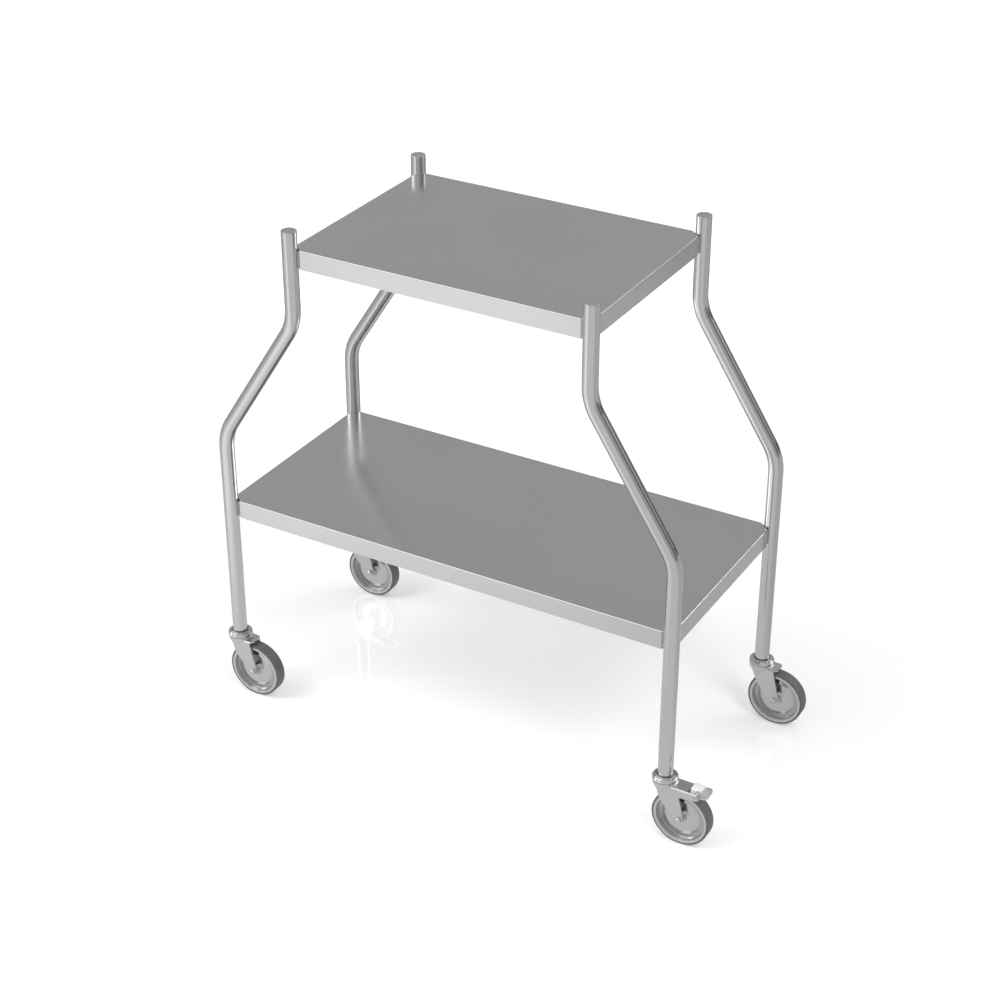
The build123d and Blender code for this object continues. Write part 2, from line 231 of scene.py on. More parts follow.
def steel(name, lines, level, rough, bump):
    """Steel: its grain's scale along x, y and z, its brightness, roughness and relief."""

    def recipe(tree, place):
        fine = grain(tree, place, lines, detail=3.0)
        wander = (fine - 0.5) + (mottle(tree, place, CLOUD_SCALE) - 0.5)
        return {"Base Color": grey(tree, level + wander * SHADE_RANGE, STEEL_TINT),
                "Roughness": rough + wander * GLOSS_RANGE,
                "Normal": relief(tree, fine, bump, SCRATCH_DEPTH)}

    return finish(name, recipe, metallic=1.0)


STEEL_LOOKS = {
    "tube_steel": ((900.0, 900.0, 8.0), 0.62, 0.15, 0.02),
    "cap_steel": ((500.0, 500.0, 500.0), 0.6, 0.15, 0.02),
    "sheet_steel": ((6.0, 700.0, 700.0), 0.62, 0.2, 0.02),
    "weld_steel": ((300.0, 300.0, 300.0), 0.55, 0.36, 0.02),
    # The expander's collar is kept dark because it stands for the thin shadow where each tube
    # meets its cup: painted shade.
    "expander_steel": ((400.0, 400.0, 400.0), 0.2, 0.4, 0.02),
    "race_steel": ((60.0, 60.0, 900.0), 0.6, 0.13, 0.02),
    "bolt_steel": ((500.0, 500.0, 500.0), 0.62, 0.13, 0.02),
    "fork_steel": ((350.0, 350.0, 350.0), 0.63, 0.3, 0.05),
    "shoe_steel": ((350.0, 350.0, 350.0), 0.5, 0.36, 0.02),
}
STEELS = {name: steel(name, *look) for name, look in STEEL_LOOKS.items()}
print(len(STEELS), "steels")

# %% [markdown]
# ## Rubber, the wheel's centre and the pedal
# The tread is grey elastomer: dull, with a faint mottle and a matt skin. The wheel's centre
# shines like polished metal in the photograph, so it is finished that way, with painted shade
# darkening its colour in the groove under the rim. That painted shade could be a pattern on
# Object coordinates, but the groove follows the wheel and not the cart's axes. So a float
# attribute on the mesh marks it. The pedal is brighter than the fork and a little rough, and
# the block on it is the palest piece.

# %% The tread and the wheel's centre
TREAD_GREY = 0.125
CENTRE_GREY = 0.62
GROOVE_SHADE = 0.15


def tread_recipe(tree, place):
    skin = mottle(tree, place, 220.0, detail=4.0)
    cloud = mottle(tree, place, 30.0)
    shade = TREAD_GREY + (skin - 0.5) * 0.03 + (cloud - 0.5) * 0.03
    return {"Base Color": grey(tree, shade, (0.97, 0.985, 1.0)),
            "Roughness": 0.52 + (skin - 0.5) * 0.12,
            "Normal": relief(tree, skin, 0.12, 0.4 * MM)}


def centre_recipe(tree, place):
    cloud = mottle(tree, place, 40.0)
    skin = mottle(tree, place, 900.0, detail=1.0)
    painted_groove_shade = Flow.new(tree, "ShaderNodeAttribute", {"attribute_name": "painted_groove_shade"}, out="Fac")
    # Painted shade: the colour is darker where the attribute marks the groove under the rim.
    shade = CENTRE_GREY + (cloud - 0.5) * 0.04 - painted_groove_shade * GROOVE_SHADE
    return {"Base Color": grey(tree, shade, (0.98, 0.99, 1.0)),
            "Roughness": 0.17 + (cloud - 0.5) * 0.06,
            "Normal": relief(tree, skin, 0.03, 0.3 * MM)}


print("wheel recipes ready")

# %% The pedal and its block
PEDAL_GREY = 0.66
BLOCK_GREY = 0.9


def pedal_recipe(tree, place):
    cloud = mottle(tree, place, 60.0)
    fine = mottle(tree, place, 600.0, detail=3.0)
    return {"Base Color": grey(tree, PEDAL_GREY + (cloud - 0.5) * 0.06, (0.99, 0.99, 1.0)),
            "Roughness": 0.2 + (fine - 0.5) * 0.08,
            "Normal": relief(tree, fine, 0.05, 0.3 * MM)}


def block_recipe(tree, place):
    cloud = mottle(tree, place, 90.0)
    return {"Base Color": grey(tree, BLOCK_GREY + (cloud - 0.5) * 0.04, (0.99, 0.995, 1.0)),
            "Roughness": 0.24 + (cloud - 0.5) * 0.08}


print("pedal recipes ready")

# %% A finish for every node of the model
FINISHES = {
    **STEELS,
    "block_zinc": finish("block_zinc", block_recipe, metallic=0.15),
    "tread_rubber": finish("tread_rubber", tread_recipe, metallic=0.0),
    "wheel_plastic": finish("wheel_plastic", centre_recipe, metallic=0.92),
    "pedal_plastic": finish("pedal_plastic", pedal_recipe, metallic=0.85),
}
for name, piece in nodes.items():
    piece.data.materials.clear()
    piece.data.materials.append(FINISHES[slot_of[name]])
print(len(FINISHES), "finishes on", len(nodes), "nodes")

# %% [markdown]
# ## Meshes by turning
# Wheels, caps, cups and bolts are bodies of revolution. A Screw modifier could turn a curve,
# but its corners would stay sharp. One helper turns an outline of (radius, distance along the
# axis) round any axis instead: the outline first gets its rounded corners, each a short arc,
# and only then is it turned. Outlines are in millimetres.

# %% An outline with rounded corners


def rounded(outline, radii, steps=5):
    """Replace each corner of a closed outline by an arc of its radius."""
    points = [Vector(point) for point in outline]
    smooth = []
    for index, (corner, radius) in enumerate(zip(points, radii)):
        before = points[index - 1] - corner
        after = points[(index + 1) % len(points)] - corner
        if radius <= 0:
            smooth.append(corner)
            continue
        half_angle = before.angle(after) / 2
        cut = min(radius / math.tan(half_angle), before.length * 0.49, after.length * 0.49)
        start = corner + before.normalized() * cut
        end = corner + after.normalized() * cut
        for step in range(steps + 1):
            t = step / steps
            smooth.append(start * (1 - t) ** 2 + corner * 2 * t * (1 - t) + end * t**2)
    return smooth


print("outlines ready")

# %% A lathe
UP = (0, 0, 1)


def axis_frame(centre, axis):
    """A matrix that takes Z to the axis and the origin to the centre."""
    turn = Vector(UP).rotation_difference(Vector(axis)).to_matrix().to_4x4()
    return Matrix.Translation(centre) @ turn


def turned(outline, centre, axis=UP, segments=96, mesh=None):
    """Turn a closed outline of (radius, along) in millimetres into a bmesh."""
    mesh = mesh or bmesh.new()
    place = axis_frame(centre, axis)
    rings = []
    for step in range(segments):
        angle = 2 * math.pi * step / segments
        rings.append([
            mesh.verts.new(place @ Vector((r * MM * math.cos(angle), r * MM * math.sin(angle),
                                           along * MM)))
            for r, along in outline
        ])
    for ring, following in zip(rings, rings[1:] + rings[:1]):
        for index in range(len(outline)):
            after = (index + 1) % len(outline)
            mesh.faces.new((ring[index], following[index], following[after], ring[after]))
    return mesh


def from_bmesh(mesh, name):
    """Merge what coincides, turn the faces outwards and return the mesh as data."""
    bmesh.ops.remove_doubles(mesh, verts=mesh.verts, dist=1e-6)
    bmesh.ops.dissolve_degenerate(mesh, edges=mesh.edges, dist=1e-7)
    bmesh.ops.recalc_face_normals(mesh, faces=mesh.faces)
    data = bpy.data.meshes.new(name)
    mesh.to_mesh(data)
    mesh.free()
    return data


print("lathe ready")

# %% From a mesh to a piece of the cart
SHARP = math.radians(32)


def add_piece(name, mesh, body):
    """Put a mesh into the scene and tie it to a body."""
    piece = bpy.data.objects.new(name, mesh)
    scene.collection.objects.link(piece)
    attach(piece, body)
    return piece


def dressed(name, mesh, look, body):
    """Give a mesh its finish, smooth it between its sharp edges and add it."""
    mesh.materials.append(FINISHES[look])
    for face in mesh.polygons:
        face.use_smooth = True
    mesh.set_sharp_from_angle(angle=SHARP)
    return add_piece(name, mesh, body)


def beside(axis, x, y, z):
    """A point in metres: x and y in millimetres from an upright axis, z from the floor."""
    return Vector((axis.x + x * MM, axis.y + y * MM, z * MM))


print("pieces can be added")

# %% [markdown]
# ## Wheels
# A wheel of this kind is two mouldings. The centre has a lip at each side, a dished wall
# down to the web and a hub that stands out to the fork's legs. The tread is moulded round it
# and its shoulders are rounded. The CAD wheel has the same parts, but its walls are straight
# and its corners sharp, so that it could only be painted to look moulded. So both outlines are
# drawn anew: written for one side, mirrored for the other, because a wheel is alike on both
# sides, and turned about the wheel's own axle, which the roll joint gives.

# %% The outlines of centre and tread
HUB_HALF = 12.0
WEB = 3.6
GROOVE = 1.3
RIM = 46.6
CENTRE_HALF = [(6.1, HUB_HALF), (9.8, HUB_HALF), (10.6, 4.8), (12.0, WEB), (28.5, WEB),
               (34.5, GROOVE), (40.8, GROOVE), (42.3, wheel_half), (RIM - 0.1, wheel_half)]
CENTRE_CURVES = [0, 0.8, 0.8, 1.0, 1.4, 1.5, 1.5, 0.6, 0.4]
TREAD_HALF = [(RIM, wheel_half), (wheel_radius - 0.1, wheel_half - 0.1)]
TREAD_CURVES = [0.3, 2.6]


def both_sides(half, curves):
    """Mirror half an outline and round its corners."""
    other_half = [(radius, -along) for radius, along in reversed(half)]
    return rounded(half + other_half, curves + curves[::-1])


print(len(both_sides(CENTRE_HALF, CENTRE_CURVES)), "points round a wheel's centre")

# %% How much painted shade each point gets
PAINTED_SHADE_START = 27.5
PAINTED_SHADE_RAMP = 6.0
LIP_MARGIN = 0.8
LIP_RAMP = 1.5


def clamped(value):
    """The value, kept between 0 and 1."""
    return min(max(value, 0), 1)


def paint_groove_shade(disc, middle):
    """Write a float attribute of painted shade: 1 in the groove under the rim, 0 elsewhere."""
    shade_layer = disc.attributes.new("painted_groove_shade", "FLOAT", "POINT")
    for vert in disc.vertices:
        offset = vert.co - middle
        radius = math.hypot(offset.x, offset.z) / MM
        under_lip = wheel_half - LIP_MARGIN - abs(offset.y) / MM
        shade_layer.data[vert.index].value = (clamped((radius - PAINTED_SHADE_START) / PAINTED_SHADE_RAMP)
                                        * clamped(under_lip / LIP_RAMP))


print("recess runs from", PAINTED_SHADE_START, "to", PAINTED_SHADE_START + PAINTED_SHADE_RAMP, "mm")

# %% Four wheels
TO_BACK = (0, 1, 0)
for corner in CORNERS:
    body = f"wheel_{corner}"
    centre = turned(both_sides(CENTRE_HALF, CENTRE_CURVES), hub[corner], TO_BACK, segments=128)
    disc = from_bmesh(centre, "wheel_disc")
    paint_groove_shade(disc, hub[corner])
    piece = dressed(f"wheel_disc_{corner}", disc, "wheel_plastic", body)
    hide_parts(f"wheel_centre_{corner}")
    rubber = turned(both_sides(TREAD_HALF, TREAD_CURVES), hub[corner], TO_BACK, segments=144)
    piece = dressed(f"tyre_{corner}", from_bmesh(rubber, "tyre"), "tread_rubber", body)
    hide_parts(f"tread_{corner}")
print(len(CORNERS), "wheels dressed")

# %% [markdown]
# ## Bearing balls
# Between the fork's crown and the cup above it runs a ring of balls. They could be copied in
# a loop, but what repeats by a rule is the work of Geometry Nodes: a circle of points, one
# ball on each, real geometry at the end. The number of balls, their size, the circle's radius
# and the seed of their turns are named inputs, so the same tree would serve another bearing.

# %% Start and end of a Geometry Nodes tool


def new_tool(name, inputs):
    """Start a node group: return it, its inputs' identifiers and what flows in from each."""
    group = bpy.data.node_groups.new(name, "GeometryNodeTree")
    sockets = group.interface
    sockets.new_socket("Geometry", in_out="OUTPUT", socket_type="NodeSocketGeometry")
    ids = {label: sockets.new_socket(label, in_out="INPUT", socket_type=kind).identifier
           for label, kind in inputs.items()}
    given = {label: Flow.new(group, "NodeGroupInput", out=label) for label in inputs}
    return group, ids, given


def close_tool(group, instances, material):
    """End a node group: the instances become real geometry and get their material."""
    real = Flow.new(group, "GeometryNodeRealizeInstances", values={"Geometry": instances})
    paint = Flow.new(group, "GeometryNodeSetMaterial",
                     values={"Geometry": real, "Material": material})
    Flow.new(group, "NodeGroupOutput", values={0: paint})


def baked(name, group, ids, values, source=None):
    """Evaluate a node group once on a helper object and return its geometry as a mesh."""
    holder = bpy.data.objects.new(name, source or bpy.data.meshes.new(name))
    maker = holder.modifiers.new("maker", "NODES")
    maker.node_group = group
    for label, value in values.items():
        maker[ids[label]] = value
    scene.collection.objects.link(holder)
    graph = bpy.context.evaluated_depsgraph_get()
    mesh = bpy.data.meshes.new_from_object(holder.evaluated_get(graph))
    bpy.data.objects.remove(holder)
    return mesh


print("Geometry Nodes helpers ready")

# %% A ring of balls
ANY_TURN = 6.2  # radians


def ring_tool(name, material):
    """A node group: count copies of a ball on a circle, lying flat at the object's origin."""
    group, ids, given = new_tool(name, {
        "Count": "NodeSocketInt", "Pitch radius": "NodeSocketFloat",
        "Ball radius": "NodeSocketFloat", "Seed": "NodeSocketInt"})
    circle = Flow.new(group, "GeometryNodeMeshCircle",
                      values={"Vertices": given["Count"], "Radius": given["Pitch radius"]})
    ball = Flow.new(group, "GeometryNodeMeshIcoSphere",
                    values={"Radius": given["Ball radius"], "Subdivisions": 4})
    smooth = Flow.new(group, "GeometryNodeSetShadeSmooth", values={"Geometry": ball})
    turn = Flow.new(group, "FunctionNodeRandomValue", {"data_type": "FLOAT_VECTOR"},
                    {"Max": (ANY_TURN, ANY_TURN, ANY_TURN), "Seed": given["Seed"]})
    spread = Flow.new(group, "GeometryNodeInstanceOnPoints",
                      values={"Points": circle, "Instance": smooth, "Rotation": turn})
    close_tool(group, spread, material)
    return group, ids


ball_ring, ball_ids = ring_tool("ball_ring", FINISHES["bolt_steel"])
print("ball ring takes", ", ".join(ball_ids))

# %% Balls in all four bearings
BALL_COUNT = 18
BALL_RADIUS = 2.4
BALL_PITCH = 15.8
BALL_HEIGHT = 114.0
for index, corner in enumerate(CORNERS):
    values = {"Count": BALL_COUNT, "Pitch radius": BALL_PITCH * MM,
              "Ball radius": BALL_RADIUS * MM, "Seed": index}
    mesh = baked(f"balls_{corner}", ball_ring, ball_ids, values)
    mesh.transform(Matrix.Translation(beside(swivel[corner], 0, 0, BALL_HEIGHT)))
    add_piece(f"bearing_balls_{corner}", mesh, f"caster_{corner}")
print(BALL_COUNT, "balls in each of", len(CORNERS), "bearings")

# %% [markdown]
# ## Pressed step round the crown
# The fork's crown is drawn up out of its plate, and the press leaves a narrow bright step
# where the two meet. It could be cut into the CAD fork, but it only shows as a line of light.
# So a whole ring is turned round the swivel axis, and only the arc that lies on the plate
# behind the crown is kept and closed.

# %% The crown's step
STEP_OUTLINE = [(20.0, 112.2), (20.6, 112.2), (21.0, 110.2), (22.2, 109.3), (22.2, 108.6),
                (20.0, 108.6)]
STEP_CURVES = [0, 0.5, 0.8, 0.4, 0, 0]
PLATE_START = 14.6
for corner in CORNERS:
    base = beside(swivel[corner], 0, 0, 0)
    step = turned(rounded(STEP_OUTLINE, STEP_CURVES), base)
    off_plate = [vert for vert in step.verts if vert.co.x < base.x + PLATE_START * MM]
    bmesh.ops.delete(step, geom=off_plate, context="VERTS")
    bmesh.ops.holes_fill(step, edges=[edge for edge in step.edges if edge.is_boundary])
    dressed(f"crown_step_{corner}", from_bmesh(step, "crown_step"), "fork_steel",
            f"caster_{corner}")
print(len(CORNERS), "crown steps")

# %% [markdown]
# ## The cup above the balls
# The upper race is a pressed cup with several narrow steps. Each step is only a millimetre
# high, yet its rounded edge throws a bright line round the ring, and those lines are what
# makes a caster look like steel. A bump would bend the light without an edge to see, so the
# steps are real: one outline, turned for every corner.

# %% Race cups
CUP = [(5.2, 113.5), (20.9, 113.5), (20.9, 115.3), (20.2, 115.9), (20.9, 116.5), (20.9, 117.5),
       (19.3, 118.3), (18.3, 119.7), (15.6, 119.7), (14.9, 120.9), (13.3, 120.9), (5.2, 120.4)]
CUP_CURVES = [0, 0.3, 0.5, 0.3, 0.5, 0.6, 0.5, 0.6, 0.5, 0.4, 0.2, 0]
for corner in CORNERS:
    cup = turned(rounded(CUP, CUP_CURVES), beside(swivel[corner], 0, 0, 0), segments=128)
    piece = dressed(f"race_cup_{corner}", from_bmesh(cup, "race_cup"), "race_steel", "frame")
    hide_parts("upper_races")
print(len(CORNERS), "race cups")

# %% [markdown]
# ## Axle bolts
# Each wheel turns on a bolt through the fork's legs, with a washer and a hexagon at both
# ends. A hexagon is a six-sided bar whose end was turned on a lathe, so the chamfer cuts
# curved arches into its flats. A bevel would cut them straight. The mesh follows the lathe
# instead: at each angle the side's height is lowered by how far the hexagon stands out past
# the turned circle.

# %% A hexagon with a turned chamfer
CHAMFER_CIRCLE = 0.74
CHAMFER_SLOPE = 0.85


def hexagon(mesh, base, axis, across, height, segments=72):
    """A bolt head or nut from base along axis, in millimetres, with a turned chamfer."""
    place = axis_frame(base, axis)
    flat = across / 2
    circle = flat * CHAMFER_CIRCLE
    rings = []
    for step in range(segments):
        angle = 2 * math.pi * step / segments
        from_flat = (angle + math.pi / 6) % (math.pi / 3) - math.pi / 6
        radius = flat / math.cos(from_flat)
        top = height - (radius - circle) * CHAMFER_SLOPE
        ring = []
        for distance, level in ((radius, 0), (radius, top), (circle, height)):
            ring.append(mesh.verts.new(place @ Vector((
                distance * math.cos(angle) * MM, distance * math.sin(angle) * MM, level * MM))))
        rings.append(ring)
    for ring, after in zip(rings, rings[1:] + rings[:1]):
        mesh.faces.new((ring[0], after[0], after[1], ring[1]))
        mesh.faces.new((ring[1], after[1], after[2], ring[2]))
    mesh.faces.new([ring[2] for ring in rings])
    mesh.faces.new([ring[0] for ring in reversed(rings)])


print("hexagons ready")

# %% A short round body
POLE = 0.01


def disc_on(mesh, base, axis, radius, height, edge, segments=64):
    """A washer or the end of a thread, with one rounded edge."""
    outline = [(POLE, 0), (radius, 0), (radius, height), (POLE, height)]
    turned(rounded(outline, [0, 0, edge, 0]), base, axis, segments, mesh)


print("discs ready")

# %% Bolts with washers, nut and sleeve
LEG_FACE = 15.0
HEAD_ACROSS = 10.0
HEAD_HEIGHT = 4.3
HEAD_WASHER_RADIUS = 5.7
HEAD_WASHER = 0.5
NUT_HEIGHT = 4.2
NUT_WASHER_RADIUS = 6.4
NUT_WASHER = 0.9
THREAD_RADIUS = 3.0
THREAD_END = 2.0
SLEEVE_RADIUS = 5.0
SLEEVE_HALF = 12.4
SLEEVE = [(POLE, -SLEEVE_HALF), (SLEEVE_RADIUS, -SLEEVE_HALF), (SLEEVE_RADIUS, SLEEVE_HALF),
          (POLE, SLEEVE_HALF)]
TO_FRONT = (0, -1, 0)


def along_axle(start, way, distance):
    """A point so many millimetres from the start, one way along the axle."""
    return start + Vector(way) * distance * MM


for corner in CORNERS:
    bolt = bmesh.new()
    front = along_axle(hub[corner], TO_FRONT, LEG_FACE)
    back = along_axle(hub[corner], TO_BACK, LEG_FACE)
    disc_on(bolt, front, TO_FRONT, HEAD_WASHER_RADIUS, HEAD_WASHER, edge=0.2)
    disc_on(bolt, back, TO_BACK, NUT_WASHER_RADIUS, NUT_WASHER, edge=0.3)
    hexagon(bolt, along_axle(front, TO_FRONT, HEAD_WASHER), TO_FRONT, HEAD_ACROSS, HEAD_HEIGHT)
    hexagon(bolt, along_axle(back, TO_BACK, NUT_WASHER), TO_BACK, HEAD_ACROSS, NUT_HEIGHT)
    thread = along_axle(back, TO_BACK, NUT_WASHER + NUT_HEIGHT)
    disc_on(bolt, thread, TO_BACK, THREAD_RADIUS, THREAD_END, edge=0.6, segments=48)
    turned(SLEEVE, hub[corner], TO_BACK, 64, bolt)
    piece = dressed(f"axle_bolt_{corner}", from_bmesh(bolt, "axle_bolt"), "bolt_steel",
                    f"caster_{corner}")
    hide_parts(f"axle_{corner}")
print(len(CORNERS), "axle bolts")

# %% [markdown]
# ## The brake lever's bright block and its screw
# The CAD lever already has its ribbed pad. A bright plate covers the block over its pivot,
# and beside the block a small screw with its nut sets how hard the brake grips. Both could be
# coloured faces of the lever, but their edges catch light, so they are bevelled and turned
# meshes. They ride on the pedal and turn with it.

# %% Brake levers
BLOCK_LOW = (47.0, -5.0, 107.4)
BLOCK_HIGH = (64.9, 11.9, 112.0)
BLOCK_BEVEL = 0.9
SCREW_PLACE = (60.5, -8.8)
SCREW_BASE = 107.6
SCREW_ACROSS = 5.5
SCREW_NUT = 2.6
SCREW_RADIUS = 1.6
SCREW_END = 2.6


def block(mesh, low, high, bevel):
    """A box with rounded edges between two corners in metres."""
    made = bmesh.ops.create_cube(mesh, size=1.0)["verts"]
    size = high - low
    middle = (high + low) / 2
    for vert in made:
        vert.co = Vector([middle[i] + vert.co[i] * size[i] for i in range(3)])
    edges = {edge for vert in made for edge in vert.link_edges}
    bmesh.ops.bevel(mesh, geom=list(edges), offset=bevel, segments=3, affect="EDGES", profile=0.5)


for corner in BRAKED:
    axis = swivel[corner]
    plate = bmesh.new()
    block(plate, beside(axis, *BLOCK_LOW), beside(axis, *BLOCK_HIGH), BLOCK_BEVEL * MM)
    dressed(f"brake_block_{corner}", from_bmesh(plate, "brake_block"), "block_zinc",
            f"pedal_{corner}")
    screw = bmesh.new()
    hexagon(screw, beside(axis, *SCREW_PLACE, SCREW_BASE), UP, SCREW_ACROSS, SCREW_NUT)
    screw_end = beside(axis, *SCREW_PLACE, SCREW_BASE + SCREW_NUT)
    disc_on(screw, screw_end, UP, SCREW_RADIUS, SCREW_END, edge=0.5, segments=40)
    dressed(f"brake_screw_{corner}", from_bmesh(screw, "brake_screw"), "bolt_steel",
            f"pedal_{corner}")
print(len(BRAKED), "brake levers dressed")

# %% [markdown]
# ## Post caps
# Each post ends in a pressed plug. Its rim is rolled over, so the lights to both sides show
# as bright points on the curved edge, while the flat middle stays as dark as the shelves. The
# CAD cap could do, but its rim is a plain chamfer, which mirrors one flat band. So the cap is
# turned again in the same place, with a round rim.

# %% Four caps
CAP_DEPTH = 2.4
CAP_ROLL = 1.5
post_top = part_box("post_caps")[1].z / MM
upper_axis = {}
for corner in CORNERS:
    low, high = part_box(f"post_{corner}")
    on_left = swivel[corner].x < centre_x
    upper_x = high.x - tube_radius * MM if on_left else low.x + tube_radius * MM
    upper_axis[corner] = Vector((upper_x, swivel[corner].y, 0))
    outline = [(2 * POLE, post_top - CAP_DEPTH), (tube_radius, post_top - CAP_DEPTH),
               (tube_radius, post_top), (2 * POLE, post_top)]
    cap = turned(rounded(outline, [0, 0, CAP_ROLL, 0], steps=8), upper_axis[corner])
    piece = dressed(f"cap_{corner}", from_bmesh(cap, "cap"), "cap_steel", "frame")
    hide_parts("post_caps")
print("caps at", round(post_top, 1), "mm")

# %% [markdown]
# ## Weld ripples
# Each shelf corner is welded to its post by two upright beads. A bead is a row of frozen
# puddles, one over the other. A displaced tube would do from afar, but the ripples would have
# to be painted in. So the Geometry Nodes tree walks along a line, drops a flattened ball about
# every millimetre and gives each its own small turn and size. The lines are the only mesh
# that goes in; the spacing, the radius and the seed are named inputs.

# %% A bead along a line
PUDDLE_FLATTEN = 0.62
PUDDLE_TILT = 0.3
PUDDLE_SIZES = (0.88, 1.08)


def bead_tool(name, material):
    """A node group: overlapping flattened balls along every edge of the mesh that it gets."""
    group, ids, given = new_tool(name, {
        "Lines": "NodeSocketGeometry", "Spacing": "NodeSocketFloat",
        "Radius": "NodeSocketFloat", "Seed": "NodeSocketInt"})
    curve = Flow.new(group, "GeometryNodeMeshToCurve", values={"Mesh": given["Lines"]})
    steps = Flow.new(group, "GeometryNodeResampleCurve", {"mode": "LENGTH"},
                     {"Curve": curve, "Length": given["Spacing"]})
    puddle = Flow.new(group, "GeometryNodeMeshIcoSphere",
                      values={"Radius": given["Radius"], "Subdivisions": 2})
    flat = Flow.new(group, "GeometryNodeTransform",
                    values={"Geometry": puddle, "Scale": (1.0, 1.0, PUDDLE_FLATTEN)})
    smooth = Flow.new(group, "GeometryNodeSetShadeSmooth", values={"Geometry": flat})
    turn = Flow.new(group, "FunctionNodeRandomValue", {"data_type": "FLOAT_VECTOR"},
                    {"Min": (-PUDDLE_TILT, -PUDDLE_TILT, 0.0),
                     "Max": (PUDDLE_TILT, PUDDLE_TILT, ANY_TURN), "Seed": given["Seed"]})
    # Inputs 2 and 3 and output 1 of this node are its plain numbers, the earlier ones vectors.
    size = Flow.new(group, "FunctionNodeRandomValue", None,
                    {2: PUDDLE_SIZES[0], 3: PUDDLE_SIZES[1], "Seed": given["Seed"]}, out=1)
    spread = Flow.new(group, "GeometryNodeInstanceOnPoints",
                      values={"Points": steps, "Instance": smooth, "Rotation": turn,
                              "Scale": size})
    close_tool(group, spread, material)
    return group, ids


bead, bead_ids = bead_tool("weld_bead", FINISHES["weld_steel"])
print("weld bead takes", ", ".join(bead_ids))

# %% Where the welds run
WELD_ENDS = 3.5
WELD_SINK = 1.2
WELD_ASIDE = 8.0
lines = bmesh.new()
for shelf, places in (("top_shelf", upper_axis), ("bottom_shelf", swivel)):
    low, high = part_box(shelf)
    for corner in CORNERS:
        post = places[corner]
        inward = Vector((math.copysign(1, centre_x - post.x), math.copysign(1, -post.y), 0))
        inward.normalize()
        across = Vector((-inward.y, inward.x, 0))
        for side in (-1, 1):
            foot = Vector((post.x, post.y, 0)) + (
                inward * (tube_radius - WELD_SINK) + across * side * WELD_ASIDE) * MM
            ends = [lines.verts.new((foot.x, foot.y, z))
                    for z in (low.z + WELD_ENDS * MM, high.z - WELD_ENDS * MM)]
            lines.edges.new(ends)
line_mesh = bpy.data.meshes.new("weld_lines")
lines.to_mesh(line_mesh)
lines.free()
print(len(line_mesh.edges), "welds")

# %% Weld beads
BEAD_SPACING = 1.1
BEAD_RADIUS = 1.9
BEAD_SEED = 4
values = {"Spacing": BEAD_SPACING * MM, "Radius": BEAD_RADIUS * MM, "Seed": BEAD_SEED}
mesh = baked("weld_beads", bead, bead_ids, values, line_mesh)
piece = add_piece("weld_beads", mesh, "frame")
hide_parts("corner_welds")
print("weld beads with", len(mesh.polygons), "faces")

# %% [markdown]
# ## Floor and background
# The cart stands on a pale studio floor with a faint gloss. More light could bleach it white,
# but that would bleach the cart too. Instead the Light Path node tells the camera's own rays
# from all others. For the camera the floor is shaded, so that it keeps the object's soft
# shadow, and lifted towards white, most of all far out. To every other ray it glows, because
# upright faces and posts mirror it: brightest where the front faces look, darker where the
# right-hand faces look and out to the back left. Behind the floor the camera sees plain white,
# which lights nothing, for the same reason.

# %% One shader for the camera, one for all other rays


def by_camera(tree, others, for_camera):
    """Mix two shaders: the second is for rays that come straight from the camera."""
    path = Flow.new(tree, "ShaderNodeLightPath", out="Is Camera Ray")
    return Flow.new(tree, "ShaderNodeMixShader", values={0: path, 1: others, 2: for_camera})


print("camera rays told apart")

# %% The floor's glow
GLOW = 0.73
FRONT_GLOW = 0.42
RIGHT_DARK = 0.17
BACK_LEFT_DARK = 0.25
FRONT_MIRROR = (-0.5, -0.866)
RIGHT_MIRROR = (0.5, 0.866)
SIDEWAYS = (0.866, -0.5)
BACK_LEFT = (-0.64, 0.77)
FRONT_REACH = (0.25, 1.2)
SIDE_REACH = (0.3, 0.65)
RIGHT_REACH = (0.0, 0.6)
BACK_LEFT_REACH = (0.45, 1.1)


def floor_glow(x, y):
    """The floor's brightness as faces and posts mirror it; a reach is in metres."""

    def along(way):
        return x * way[0] + y * way[1]

    in_front = along(FRONT_MIRROR).between(*FRONT_REACH)
    narrow = 1.0 - abs(along(SIDEWAYS)).between(*SIDE_REACH)
    to_right = along(RIGHT_MIRROR).between(*RIGHT_REACH)
    to_back_left = along(BACK_LEFT).between(*BACK_LEFT_REACH)
    return (GLOW + in_front * narrow * FRONT_GLOW - to_right * RIGHT_DARK
            - to_back_left * BACK_LEFT_DARK)


print("glow from", round(GLOW - RIGHT_DARK - BACK_LEFT_DARK, 2), "to", GLOW + FRONT_GLOW)

# %% The studio floor
FLOOR_GREY = 0.85
FLOOR_GLOSS = 0.1
FLOOR_LIFT = 0.27
FAR_LIFT = 0.1
FAR_REACH = (0.7, 1.6)
FLOOR_HALF = 14.0


